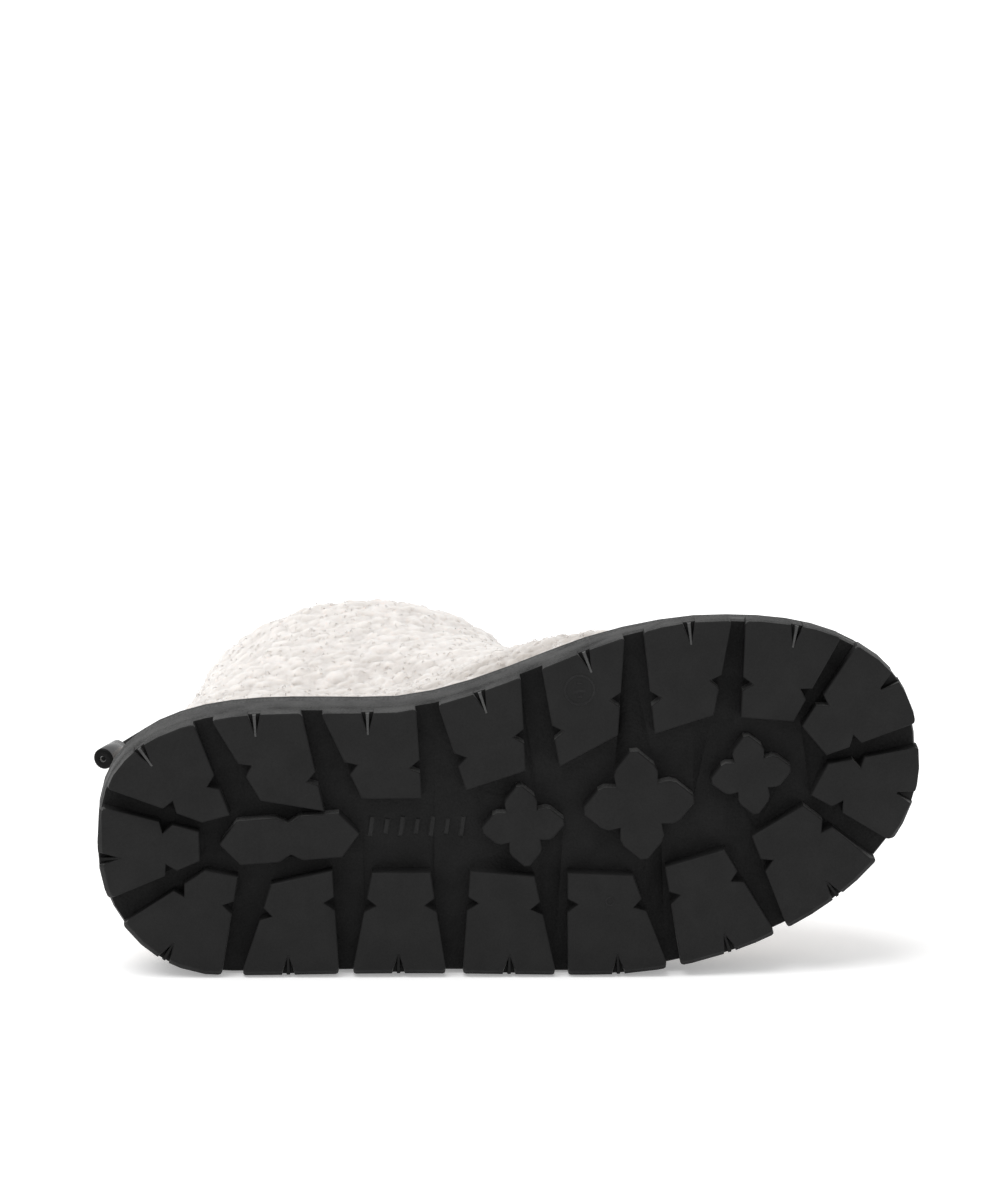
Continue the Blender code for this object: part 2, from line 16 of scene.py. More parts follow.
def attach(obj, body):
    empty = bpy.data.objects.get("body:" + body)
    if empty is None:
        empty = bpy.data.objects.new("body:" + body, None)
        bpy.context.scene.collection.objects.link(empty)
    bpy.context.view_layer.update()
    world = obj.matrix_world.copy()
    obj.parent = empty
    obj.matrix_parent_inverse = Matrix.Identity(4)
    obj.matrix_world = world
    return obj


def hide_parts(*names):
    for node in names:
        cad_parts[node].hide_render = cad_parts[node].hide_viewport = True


# The boot's place in the row frame. Its own frame has x from the heel, y across from the middle
# and z up from the tread.
BOOT_PLACE = (-0.13536, -0.076399, 0.049424)
BOOT_ROLL = -1.5769069

# Sole, in metres, with the toe spring's start as a share of the length
SOLE_LENGTH = 0.271
BALL_HALF = 0.0476
TREAD_DEPTH = 0.0065
TREAD_SLACK = 0.0001
SIDE_START = 0.0095
SPRING_START = 0.62
TOE_SPRING = 0.013
SPINE_BACK = 0.05
SPINE_FRONT = 0.215

# Lugs: how near the tread's plane a face is, the moulded edge, and the slit's floor and area
LUG_FACE_REACH = 0.003
LUG_CHAMFER = 0.00035
CHAMFER_SLOPE = 0.8
RIM_HEIGHT = 0.0026
SLIT_FLOOR = 0.0028
SLIT_UNDER = 0.0004
SLIT_OVER = 0.0006
SLIT_AREA = 0.00003

# How squarely a face of the sole looks at the ground, from 1 for a flat one to 0 for an upright
# one, and how squarely a face of the sidewall looks out
SLIT_FACING = 0.9
LUG_FACING = 0.85
FLOOR_FACING = 0.7
EDGE_FACING = 0.3
RIM_FACING = 0.25
WALL_FACING = 0.03
UNDER_FACING = -0.5
OUT_FACING = 0.72

# The thin ridge that stands in a slit
RIDGE_SINK = 0.0001
RIDGE_TAPER = 0.7
RIDGE_ENDS = (
    # share along the slit, half width, height
    (-0.20, 0.0004, 0.0029),
    (0.98, 0.0007, 0.0021),
)

# Plain raised marks: along the sole, across from its outer edge, then their own sizes
RIB_COUNT = 7
RIB_START = 0.0900
RIB_STEP = 0.0050
RIB_ACROSS = 0.0480
RIB_LENGTH = 0.0070
RIB_SHORTER = 0.0016
RIB_WIDTH = 0.0020
RIB_TURN = 1.43
RIB_RISE = 0.0004
BAR_RISE = 0.0002
BAR_TOP_LENGTH = 0.9
BAR_TOP_WIDTH = 0.6
RING_SINK = 0.0001
RING_BARS = (
    # along, across, length, width, turn
    (0.1580, 0.0945, 0.0042, 0.0009, 0.1),
    (0.1580, 0.0972, 0.0016, 0.0008, 0.0),
    (0.1580, 0.0928, 0.0016, 0.0008, 0.0),
)

# A raised ring's place along and across, its radius, width and height
BARRED_RING = (0.1580, 0.0950, 0.0048, 0.0008, 0.00025)
SMALL_RING = (0.1685, 0.0240, 0.0013, 0.0005, 0.0002)

# Wool: the pile starts a little off the sole and is full after PILE_FADE
PILE_VOXEL = 0.00138
PILE_HEIGHT = 0.0015
PILE_GAIN = 1.30
PILE_LEVEL = 0.40
LEAST_PILE = 0.3
PILE_START = 0.0004
PILE_FADE = 0.0022
LINING_SHARE = 0.35
LINING_LEVEL = 0.55
# Painted shade on the outer wool's tone: darker within SHADE_REACH of the sole by SHADE_SHARE, and darker
# between the curls by the share below
SHADE_REACH = 0.06
SHADE_SHARE = 0.6
CURL_SHADE_WEIGHT = 0.4
FLOOR_CLEARANCE = 0.0002

# Curls: the size of one, then the rest as shares of it or of its height
CURL_SIZE = 0.0050
WARP_SIZE = 1.6
WARP_REACH = 0.45
BLOB_REACH = 0.62
BLOB_SHARE = 0.66
STRAND_SIZE = 0.42
STRAND_WARP = 1.5
STRAND_SHARE = 0.34

# The middle of the upper, which tells the outside of its wall from the inside
COLLAR_MIDDLE = 0.09075
SHAFT_START = 0.062
FOOT_BACK = 0.05
FOOT_FRONT = 0.222
FOOT_SIDE = -0.002
FOOT_HEIGHT = 0.040

# Loose locks on the wool: the ranges are shares of the reach and the thickness
TUFT_COUNT = 1500
TUFT_REACH = 0.0010
TUFT_SINK = 0.0002
TUFT_THICKNESS = 0.00012
TUFT_REACHES = (0.65, 1.25)
TUFT_LIFTS = (0.55, 1.05)
TUFT_GIRTHS = (0.8, 1.3)
TUFT_CURL = 1.35
TUFT_SIDES = 3
TUFT_STEPS = 7
TUFT_SOLE_GAP = 0.003
TUFT_FLOOR_GAP = 0.004

# Insole: a short nap on top, and fleece that fills the gap beside the wall
INSOLE_VOXEL = 0.0016
INSOLE_FACING = -0.5
INSOLE_NAP = 0.0006
INSOLE_LEVEL = 0.4
INSOLE_FILL = 0.0020
FILL_LEVEL = 0.55
FILL_RELIEF = 0.35

# Pull cord
CORD_DIAMETER = 0.0032
KNOT_STRAND = 0.0024
KNOT_RADIUS = 0.0014
KNOT_TURNS = 2.2
KNOT_STEPS = 44
KNOT_START = 0.0358
KNOT_END = 0.0380

# The pull cord's route in the boot's own frame, from the knot inside the collar
CORD_ROUTE = (
    (0.0365, -0.0073, 0.1332),
    (0.0348, -0.0075, 0.1332),
    (0.0284, -0.0080, 0.1332),
    (0.0245, -0.0084, 0.1326),
    (0.0208, -0.0086, 0.1302),
    (0.0173, -0.0084, 0.1262),
    (0.0143, -0.0079, 0.1214),
    (0.0114, -0.0073, 0.1162),
    (0.0085, -0.0067, 0.1103),
    (0.0057, -0.0062, 0.1038),
    (0.0039, -0.0059, 0.0996),
)

# Camera: the photograph's angle to the boot, in degrees and metres
CAMERA_AZIMUTH = -1.5
CAMERA_ELEVATION = 11.26
CAMERA_ROLL = 0.3
CAMERA_DISTANCE = 1.9963
CAMERA_LENS = 184.0
CAMERA_AIM = (-0.00353, -0.07553, 0.12665)

# Light
WORLD_LIGHT = 0.72
SUN_LIGHT = 1.8
SUN_SPREAD = 50
SUN_PLACE = (-0.5, -0.2, 1.5)
FLOOR_TONE = 0.90
FLOOR_GLOW = 0.28
FLOOR_SIZE = 30

# Corners of the solids that are closer than this are one
WELD_REACH = 0.000002

# The noise module takes its seed from the clock unless it is set
NOISE_SEED = 7

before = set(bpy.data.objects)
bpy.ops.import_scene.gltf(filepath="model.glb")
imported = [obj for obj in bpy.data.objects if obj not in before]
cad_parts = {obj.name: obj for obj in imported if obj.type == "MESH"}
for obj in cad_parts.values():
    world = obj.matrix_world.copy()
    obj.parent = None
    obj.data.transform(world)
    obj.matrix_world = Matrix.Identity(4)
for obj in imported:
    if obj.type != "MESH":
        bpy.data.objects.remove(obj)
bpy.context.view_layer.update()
noise.seed_set(NOISE_SEED)


# Places


def boot_point(x, y, z):
    """A point of the boot's own frame in the row frame."""
    turn = Matrix.Rotation(BOOT_ROLL, 4, "X")
    return turn @ Vector((x, y, z)) + Vector(BOOT_PLACE)


def own_point(point):
    """A point of the row frame in the boot's own frame."""
    return Matrix.Rotation(-BOOT_ROLL, 4, "X") @ (point - Vector(BOOT_PLACE))


def tread_point(x, v, z):
    """A point of the tread: x from the heel, v across from the outer edge, z up from its plane."""
    return boot_point(x, BALL_HALF - v, z)


def spine_point(point):
    """The point of the sole's middle line that is nearest to a place on the sole."""
    return boot_point(min(max(point.x - BOOT_PLACE[0], SPINE_BACK), SPINE_FRONT), 0, 0)


# The way from the boot towards the ground that its tread is made for
DOWN = boot_point(0, 0, -1) - boot_point(0, 0, 0)


# Materials


def material(name, colour, roughness, **sockets):
    """A Principled material whose uniform values sit on the shader's own sockets."""
    made = bpy.data.materials.new(name)
    made.use_nodes = True
    shader = made.node_tree.nodes["Principled BSDF"]
    shader.inputs["Base Color"].default_value = (*colour, 1)
    shader.inputs["Roughness"].default_value = roughness
    for key, value in sockets.items():
        shader.inputs[key.replace("_", " ")].default_value = value
    return made


def add(made, kind, **values):
    """A node of the given kind, with its inputs set by name and its settings by set_ and name."""
    node = made.node_tree.nodes.new(kind)
    for key, value in values.items():
        if key.startswith("set_"):
            setattr(node, key[4:], value)
        else:
            node.inputs[key.replace("_", " ")].default_value = value
    return node


def link(made, out, into):
    """Joins two sockets."""
    made.node_tree.links.new(out, into)


def shader_link(made, out, socket):
    """Joins a socket to one of the shader's own."""
    link(made, out, made.node_tree.nodes["Principled BSDF"].inputs[socket])


def ramp(made, source, stops):
    """A colour ramp over a value."""
    node = made.node_tree.nodes.new("ShaderNodeValToRGB")
    for element, (position, colour) in zip(node.color_ramp.elements, stops):
        element.position = position
        element.color = (*colour, 1)
    link(made, source, node.inputs["Fac"])
    return node.outputs["Color"]


def summed(made, first, second):
    """The sum of two values."""
    node = add(made, "ShaderNodeMath", set_operation="ADD")
    link(made, first, node.inputs[0])
    link(made, second, node.inputs[1])
    return node.outputs[0]


def scaled(made, source, share):
    """A share of a value."""
    node = add(made, "ShaderNodeMath", set_operation="MULTIPLY")
    link(made, source, node.inputs[0])
    node.inputs[1].default_value = share
    return node.outputs[0]


def bump(made, height, strength, distance):
    """A bump from a height."""
    node = add(made, "ShaderNodeBump", Strength=strength, Distance=distance)
    link(made, height, node.inputs["Height"])
    shader_link(made, node.outputs["Normal"], "Normal")


def grain(made, scale, detail, distortion=0.0):
    """Noise in object space, scale in features per metre."""
    place = add(made, "ShaderNodeTexCoord")
    node = add(made, "ShaderNodeTexNoise", Scale=scale, Detail=detail, Distortion=distortion)
    link(made, place.outputs["Object"], node.inputs["Vector"])
    return node.outputs["Fac"]


def cells(made, scale):
    """The distance to the middle of each cell, scale in cells per metre."""
    place = add(made, "ShaderNodeTexCoord")
    node = add(made, "ShaderNodeTexVoronoi", Scale=scale)
    link(made, place.outputs["Object"], node.inputs["Vector"])
    return node.outputs["Distance"]


def rubber(name, dark, light, roughness, gloss_level, grains, relief):
    """Moulded rubber: mottled near-black with a coarse and a fine grain."""
    made = material(name, dark, roughness, Specular_IOR_Level=gloss_level)
    cloud = scaled(made, grain(made, 90.0, 6.0), 0.55)
    speckle = scaled(made, grain(made, 1500.0, 2.0), 0.45)
    mottle = ramp(made, summed(made, cloud, speckle), [(0.38, dark), (0.62, light)])
    shader_link(made, mottle, "Base Color")
    gloss = add(made, "ShaderNodeMapRange", To_Min=roughness - 0.07, To_Max=roughness + 0.10)
    link(made, grain(made, 160.0, 3.0), gloss.inputs["Value"])
    shader_link(made, gloss.outputs["Result"], "Roughness")
    coarse, fine = grains
    surface = summed(made, grain(made, coarse, 3.0), scaled(made, cells(made, fine), 0.6))
    bump(made, surface, relief, 0.00025)
    return made


def wool(name, pale, shade, curl_shaded=True, scatter=0.8):
    """Wool: pale with random tone, darker as painted shade between the curls and near the sole if the
    mesh carries those values, with a fibre bump.
    """
    made = material(
        name,
        pale,
        0.95,
        Specular_IOR_Level=0.15,
        Sheen_Weight=0.25,
        Sheen_Roughness=0.6,
        Subsurface_Weight=scatter,
        Subsurface_Radius=(1.0, 0.93, 0.86),
        Subsurface_Scale=0.0045,
    )
    level = grain(made, 130.0, 6.0, 0.8)
    # The mesh's stored values darken the tone as painted shade; the noise is the wool's own random tone
    if curl_shaded:
        curl_shade = add(made, "ShaderNodeAttribute", set_attribute_name="curl_shade")
        level = summed(made, scaled(made, curl_shade.outputs["Fac"], 0.55), scaled(made, level, 0.6))
    tone = ramp(made, level, [(0.34, shade), (0.80 if curl_shaded else 0.60, pale)])
    shader_link(made, tone, "Base Color")
    fibre = summed(made, grain(made, 1500.0, 4.0, 1.5), scaled(made, grain(made, 600.0, 3.0, 2.0), 0.8))
    bump(made, fibre, 0.32, 0.0004)
    return made


def cord_black():
    """The cord's dull black, with a woven bump."""
    made = material("cord_black", (0.006, 0.006, 0.006), 0.8, Specular_IOR_Level=0.25)
    tone = ramp(made, grain(made, 900.0, 2.0), [(0.35, (0.004,) * 3), (0.70, (0.010,) * 3)])
    shader_link(made, tone, "Base Color")
    bump(made, cells(made, 1400.0), 0.8, 0.0003)
    return made


def barrel_gloss():
    """The shiny side of the cord's end."""
    made = material(
        "cord_end_gloss",
        (0.030, 0.030, 0.031),
        0.16,
        Specular_IOR_Level=0.8,
        Coat_Weight=0.6,
        Coat_Roughness=0.12,
    )
    bump(made, grain(made, 900.0, 2.0), 0.05, 0.0001)
    return made


def barrel_dull():
    """The dark end face of the cord's end."""
    made = material("cord_end_face", (0.0035, 0.0035, 0.0035), 0.5, Specular_IOR_Level=0.1)
    bump(made, grain(made, 1200.0, 2.0), 0.2, 0.0001)
    return made


SMOOTH_GRAINS = (700.0, 2600.0)
SIDE_GRAINS = (1300.0, 2100.0)
FLOOR_GRAINS = (420.0, 1100.0)

# Name, dark and light tone, roughness, gloss level, grains and relief
RUBBER_TREAD = rubber("rubber_tread", (0.0088,) * 3, (0.0122,) * 3, 0.60, 0.16, SMOOTH_GRAINS, 0.18)
# Paler than the tread: painted light and sheen from above on the one moulded rubber, over its grained
# finish
RUBBER_SIDE_LIT = rubber("rubber_side_lit", (0.014,) * 3, (0.058, 0.058, 0.057), 0.62, 0.30, SIDE_GRAINS, 0.9)
# Paler still: painted light on the sidewall's step faces that look towards the tread, away from the light
# above
RUBBER_RIM_LIT = rubber("rubber_rim_lit", (0.045,) * 3, (0.100, 0.100, 0.099), 0.62, 0.30, SIDE_GRAINS, 0.9)
RUBBER_EDGE = rubber("rubber_edge", (0.010,) * 3, (0.015,) * 3, 0.66, 0.16, SMOOTH_GRAINS, 0.2)
# Paler: painted light on the ridges of the upper slits
RUBBER_SLIT_LIT = rubber("rubber_slit_lit", (0.030,) * 3, (0.060, 0.060, 0.059), 0.5, 0.4, SMOOTH_GRAINS, 0.3)
RUBBER_MARK = rubber("rubber_mark", (0.009,) * 3, (0.016,) * 3, 0.6, 0.2, SMOOTH_GRAINS, 0.5)
RUBBER_FLOOR = rubber("rubber_floor", (0.007,) * 3, (0.012,) * 3, 0.72, 0.14, FLOOR_GRAINS, 0.9)
# Each wool's second colour is the dark end of its tone: random tone, and painted shade from the mesh's
# stored values; the locks have random tone only
WOOL = wool("curly_wool", (0.725, 0.69, 0.66), (0.42, 0.385, 0.355))
LINING = wool("lining_fleece", (0.78, 0.745, 0.69), (0.62, 0.58, 0.52))
FLEECE = wool("insole_fleece", (0.76, 0.72, 0.66), (0.56, 0.51, 0.45))
TUFT = wool("wool_locks", (0.78, 0.745, 0.72), (0.70, 0.665, 0.64), curl_shaded=False, scatter=0.0)

# The outsole's materials, and the number of each in that list
OUTSOLE_RUBBERS = [RUBBER_TREAD, RUBBER_SIDE_LIT, RUBBER_FLOOR, RUBBER_EDGE, RUBBER_RIM_LIT]
TREAD, LIT_SIDE, FLOOR, EDGE, LIT_RIM = range(5)


# Meshes


def welded(node):
    """A bmesh of a CAD node with its vertices joined."""
    shape = bmesh.new()
    shape.from_mesh(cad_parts[node].data)
    bmesh.ops.remove_doubles(shape, verts=shape.verts, dist=WELD_REACH)
    return shape


def placed(name, data):
    """An object of the scene that rides on the boot."""
    made = bpy.data.objects.new(name, data)
    bpy.context.scene.collection.objects.link(made)
    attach(made, "root")
    return made


def piece(name, shape, slots, smooth_angle=None):
    """An object from a bmesh, with its materials."""
    mesh = bpy.data.meshes.new(name)
    shape.to_mesh(mesh)
    shape.free()
    for slot in slots:
        mesh.materials.append(slot)
    mesh.shade_smooth()
    if smooth_angle:
        mesh.set_sharp_from_angle(angle=math.radians(smooth_angle))
    return placed(name, mesh)


def applied(made, modifier_kind, **settings):
    """Applies one modifier to a piece."""
    modifier = made.modifiers.new("work", modifier_kind)
    for key, value in settings.items():
        setattr(modifier, key, value)
    graph = bpy.context.evaluated_depsgraph_get()
    mesh = bpy.data.meshes.new_from_object(made.evaluated_get(graph))
    made.modifiers.clear()
    old = made.data
    made.data = mesh
    bpy.data.meshes.remove(old)


def surface_tree(node):
    """A search tree over a CAD node's faces."""
    shape = welded(node)
    tree = BVHTree.FromBMesh(shape)
    shape.free()
    return tree


def curls(point):
    """Height of the curly pile at a point, 0 between curls to 1 on top of one."""
    warp = noise.noise_vector(point / (CURL_SIZE * WARP_SIZE)) * CURL_SIZE * WARP_REACH
    distances = noise.voronoi((point + warp) / CURL_SIZE)[0]
    blob = 1.0 - min(1.0, distances[0] / BLOB_REACH)
    strand = 1.0 - abs(noise.noise((point + warp * STRAND_WARP) / (CURL_SIZE * STRAND_SIZE)))
    return BLOB_SHARE * blob**0.75 + STRAND_SHARE * strand**2


def store_curl_shade(mesh, values):
    """Gives the wool's materials their painted shade: low between the curls and, on the outer wool, near
    the sole.
    """
    mesh.attributes.new("curl_shade", "FLOAT", "POINT").data.foreach_set("value", values)


# Outsole


def rise(f):
    """How far the tread curves up from the ground at a face."""
    share = (f.calc_center_median().x - BOOT_PLACE[0]) / SOLE_LENGTH
    past = max(0.0, share - SPRING_START) / (1 - SPRING_START)
    return TOE_SPRING * past * past


def faces_out(f):
    """Whether a face of the sole looks out from its outline, not into a groove."""
    centre = f.calc_center_median()
    away = centre - spine_point(centre)
    away.y = 0
    return f.normal.dot(away.normalized()) > OUT_FACING


def outsole_finish(f, height):
    """Which of the outsole's materials a face takes, from its height over the tread's plane."""
    facing = f.normal.dot(DOWN)
    if facing > LUG_FACING and height < LUG_FACE_REACH:
        return TREAD
    # Painted light: the steep walls of the lugs and the sidewall take the paler side rubber
    if WALL_FACING < facing < LUG_FACING and height < RIM_HEIGHT:
        return EDGE if facing > EDGE_FACING else LIT_SIDE
    if facing > FLOOR_FACING and height < SIDE_START:
        return FLOOR
    # Painted light: the sidewall's faces that look towards the tread take the paler rim rubber
    if facing > RIM_FACING and height > SIDE_START:
        return LIT_RIM
    if facing > UNDER_FACING and height < TREAD_DEPTH + TREAD_SLACK and not faces_out(f):
        return FLOOR
    return LIT_SIDE


def dress_outsole():
    """The rubber unit: each lug's rim gets a moulded chamfer, and each kind of face its rubber, the
    sidewall's paler as painted light.
    """
    shape = welded("outsole")
    tread = shape.verts.layers.float.new("tread")
    for v in shape.verts:
        v[tread] = own_point(v.co).z
    shape.normal_update()
    for f in shape.faces:
        f.material_index = outsole_finish(f, sum(v[tread] for v in f.verts) / len(f.verts) - rise(f))
    lugs = [f for f in shape.faces if f.material_index == TREAD]
    slits = slit_lines(shape, tread)
    rim = bmesh.ops.inset_region(
        shape, faces=lugs, thickness=LUG_CHAMFER, depth=0.0, use_even_offset=True, use_boundary=True
    )["faces"]
    inner = {v for f in lugs for v in f.verts}
    outer = {v for f in rim for v in f.verts} - inner
    for v in outer:
        v.co -= DOWN * LUG_CHAMFER * CHAMFER_SLOPE
    for f in rim:
        f.material_index = TREAD
    made = piece("outsole_rubber", shape, OUTSOLE_RUBBERS, smooth_angle=20)
    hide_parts("outsole")
    dress_slits(slits)


def slit_lines(shape, tread):
    """The middle line of each lug's slit, from its narrow end to its mouth, on the slit's floor."""
    floors = {}
    for f in shape.faces:
        height = min(v[tread] for v in f.verts) - rise(f)
        if f.normal.dot(DOWN) > SLIT_FACING and SLIT_FLOOR - SLIT_UNDER < height < SLIT_FLOOR + SLIT_OVER:
            floors[f] = True
    lines = []
    while floors:
        group = [floors.popitem()[0]]
        for f in group:
            near = dict.fromkeys(n for e in f.edges for n in e.link_faces if n in floors)
            for n in near:
                del floors[n]
            group += near
        points = [v.co.copy() for v in dict.fromkeys(v for f in group for v in f.verts)]
        spine = spine_point(sum(points, Vector()) / len(points))
        points.sort(key=lambda p: (p - spine).xz.length)
        if len(points) >= 4 and sum(f.calc_area() for f in group) < SLIT_AREA:
            lines.append(((points[0] + points[1]) / 2, (points[-1] + points[-2]) / 2))
    return lines


def dress_slits(lines):
    """The thin ridge of rubber that stands along each slit, paler on the upper slits as painted light
    than on the lower ones.
    """
    shape = bmesh.new()
    for tip, mouth in lines:
        along = mouth - tip
        across = along.cross(DOWN).normalized()
        rows = []
        for share, half, height in RIDGE_ENDS:
            foot = tip + along * share - DOWN * RIDGE_SINK
            top = tip + along * share + DOWN * height
            wide = across * half
            narrow = wide * RIDGE_TAPER
            corners = (foot - wide, foot + wide, top + narrow, top - narrow)
            rows.append([shape.verts.new(corner) for corner in corners])
        shape.faces.new(rows[0])
        shape.faces.new(rows[1][::-1])
        for i in range(4):
            side = shape.faces.new((rows[0][i - 1], rows[0][i], rows[1][i], rows[1][i - 1]))
            # Painted light: ridges of the upper slits take the paler rubber, those of the lower ones the
            # dark floor rubber
            side.material_index = 0 if mouth.z > BOOT_PLACE[2] else 1
    bmesh.ops.recalc_face_normals(shape, faces=shape.faces)
    made = piece("slit_ridges", shape, [RUBBER_SLIT_LIT, RUBBER_FLOOR], smooth_angle=30)


def raised_bar(shape, u, v, length, width, turn, base, height):
    """A raised bar on the tread with sloped sides."""
    along = Vector((math.cos(turn), math.sin(turn))) * length / 2
    across = Vector((-math.sin(turn), math.cos(turn))) * width / 2
    ring = []
    for a, b in ((1, 1), (-1, 1), (-1, -1), (1, -1)):
        foot = Vector((u, v)) + along * a + across * b
        top = Vector((u, v)) + along * a * BAR_TOP_LENGTH + across * b * BAR_TOP_WIDTH
        low = shape.verts.new(tread_point(*foot, base))
        high = shape.verts.new(tread_point(*top, base - height))
        ring.append((low, high))
    for a, b in zip(ring, ring[1:] + ring[:1]):
        shape.faces.new((a[0], b[0], b[1], a[1]))
    shape.faces.new([high for low, high in ring])


def raised_ring(shape, u, v, radius, width, height):
    """A raised ring on the tread, rounded across."""
    count, sides = 36, 6
    rows = []
    for i in range(count):
        a = 2 * math.pi * i / count
        row = []
        for k in range(sides):
            b = math.pi * k / (sides - 1)
            reach = radius + math.cos(b) * width / 2
            lift = RING_SINK - math.sin(b) * (height + RING_SINK)
            place = tread_point(u + reach * math.cos(a), v + reach * math.sin(a), lift)
            row.append(shape.verts.new(place))
        rows.append(row)
    for a, b in zip(rows, rows[1:] + rows[:1]):
        for k in range(sides - 1):
            shape.faces.new((a[k], a[k + 1], b[k + 1], b[k]))


def dress_marks():
    """Plain raised marks of the mould: ribs at the waist and rings on two lugs, none a letter."""
    shape = bmesh.new()
    for i in range(RIB_COUNT):
        length = RIB_LENGTH - RIB_SHORTER * (i % 2)
        along = RIB_START + RIB_STEP * i
        raised_bar(shape, along, RIB_ACROSS, length, RIB_WIDTH, RIB_TURN, TREAD_DEPTH, RIB_RISE)
    raised_ring(shape, *BARRED_RING)
    for row in RING_BARS:
        raised_bar(shape, *row, 0.0, BAR_RISE)
    raised_ring(shape, *SMALL_RING)
    bmesh.ops.recalc_face_normals(shape, faces=shape.faces)
    made = piece("tread_marks", shape, [RUBBER_MARK], smooth_angle=30)


# Upper


def boot_middle(point):
    """A point well inside the boot, next to a point of its wall."""
    own = own_point(point)
    if own.z > SHAFT_START:
        return boot_point(COLLAR_MIDDLE, 0, own.z)
    return boot_point(min(max(own.x, FOOT_BACK), FOOT_FRONT), FOOT_SIDE, FOOT_HEIGHT)


def outer_faces(shape):
    """For each face of the upper, whether it is on the outside of the wall."""
    shape.normal_update()
    shape.faces.ensure_lookup_table()
    centres = [f.calc_center_median() for f in shape.faces]
    return [(c - boot_middle(c)).dot(f.normal) > 0 for f, c in zip(shape.faces, centres)]


def dress_upper():
    """The wool: a closed wall with curly pile outside and a shorter nap inside."""
    source = welded("upper")
    is_outer = outer_faces(source)
    source_tree = BVHTree.FromBMesh(source)
    sole = surface_tree("outsole")
    made = piece("wool_upper", source, [WOOL, LINING])
    applied(made, "REMESH", mode="VOXEL", voxel_size=PILE_VOXEL)
    applied(made, "SMOOTH", iterations=4, factor=0.5)
    mesh = made.data
    curl_shade = np.zeros(len(mesh.vertices), dtype=np.float32)
    outside = np.zeros(len(mesh.vertices), dtype=bool)
    normals = [v.normal.copy() for v in mesh.vertices]
    for v, normal in zip(mesh.vertices, normals):
        outside[v.index] = is_outer[source_tree.find_nearest(v.co)[2]]
        gap = sole.find_nearest(v.co)[3]
        height = curls(v.co)
        # The stored value paints shade into the tone: darker between the curls, and outside also near the
        # sole
        if outside[v.index]:
            curl_shade[v.index] = height * CURL_SHADE_WEIGHT + SHADE_SHARE * min(1.0, gap / SHADE_REACH)
            step = (height * PILE_GAIN - PILE_LEVEL) * PILE_HEIGHT
        else:
            curl_shade[v.index] = height
            step = (height - LINING_LEVEL) * PILE_HEIGHT * LINING_SHARE
        free = min(1.0, max(0.0, (gap - PILE_START) / PILE_FADE))
        v.co += normal * step * (free if step > 0 else max(free, LEAST_PILE))
        v.co.z = max(v.co.z, FLOOR_CLEARANCE)
    store_curl_shade(mesh, curl_shade)
    for polygon in mesh.polygons:
        polygon.material_index = 0 if outside[polygon.vertices[0]] else 1
    mesh.shade_smooth()
    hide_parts("upper")
    return mesh, outside


def lock_path(co, normal, rng):
    """One curled lock on the wool: its points, the side that it bends to and its thickness."""
    side = normal.orthogonal().normalized()
    side.rotate(Matrix.Rotation(rng.uniform(0, 2 * math.pi), 3, normal))
    lead = normal.cross(side)
    reach = TUFT_REACH * rng.uniform(*TUFT_REACHES)
    lift = TUFT_REACH * rng.uniform(*TUFT_LIFTS)
    twist = rng.uniform(-1, 1)
    thick = TUFT_THICKNESS * rng.uniform(*TUFT_GIRTHS)
    path = []
    for i in range(TUFT_STEPS):
        a = math.pi * TUFT_CURL * i / (TUFT_STEPS - 1)
        over = side * (reach * (1 - math.cos(a)) * 0.62)
        up = normal * (lift * math.sin(a) * 0.9 - TUFT_SINK)
        beside = lead * (twist * reach * 0.6 * math.sin(a * 0.8))
        path.append(co + over + up + beside)
    return path, side, thick


def add_lock(verts, faces, path, normal, side, thick):
    """Adds the closed skin of one lock, thin at both ends and kept off the floor."""
    base = len(verts)
    for i, p in enumerate(path):
        along = (path[min(i + 1, TUFT_STEPS - 1)] - path[max(i - 1, 0)]).normalized()
        across = along.cross(normal)
        across = across.normalized() if across.length > 1e-6 else side
        up = across.cross(along)
        girth = thick * (0.35 + 0.65 * math.sin(math.pi * (i + 0.6) / (TUFT_STEPS + 0.2)))
        for k in range(TUFT_SIDES):
            angle = 2 * math.pi * k / TUFT_SIDES
            q = p + (across * math.cos(angle) + up * math.sin(angle)) * girth
            q.z = max(q.z, FLOOR_CLEARANCE)
            verts.append(q)
    for i in range(TUFT_STEPS - 1):
        for k in range(TUFT_SIDES):
            a = base + i * TUFT_SIDES + k
            b = base + i * TUFT_SIDES + (k + 1) % TUFT_SIDES
            faces.append((a, b, b + TUFT_SIDES, a + TUFT_SIDES))
    faces.append(tuple(base + k for k in reversed(range(TUFT_SIDES))))
    faces.append(tuple(len(verts) - TUFT_SIDES + k for k in range(TUFT_SIDES)))


def tuft_piece(name, spots, seed):
    """Many short curled locks in one mesh."""
    rng = random.Random(seed)
    verts, faces = [], []
    for co, normal in spots:
        path, side, thick = lock_path(co, normal, rng)
        add_lock(verts, faces, path, normal, side, thick)
    mesh = bpy.data.meshes.new(name)
    mesh.from_pydata(verts, [], faces)
    mesh.materials.append(TUFT)
    mesh.shade_smooth()
    placed(name, mesh)


def dress_tufts(mesh, outside):
    """Loose curls that stand out of the pile, away from the sole and the floor."""
    sole = surface_tree("outsole")
    tops = [v.index for v in mesh.vertices if outside[v.index] and v.co.z > TUFT_FLOOR_GAP]
    random.Random(11).shuffle(tops)
    spots = []
    for index in tops:
        v = mesh.vertices[index]
        if sole.find_nearest(v.co)[3] > TUFT_SOLE_GAP:
            spots.append((v.co.copy(), v.normal.copy()))
        if len(spots) >= 2 * TUFT_COUNT:
            break
    tuft_piece("wool_locks_a", spots[:TUFT_COUNT], 5)
    tuft_piece("wool_locks_b", spots[TUFT_COUNT:], 6)


# Insole


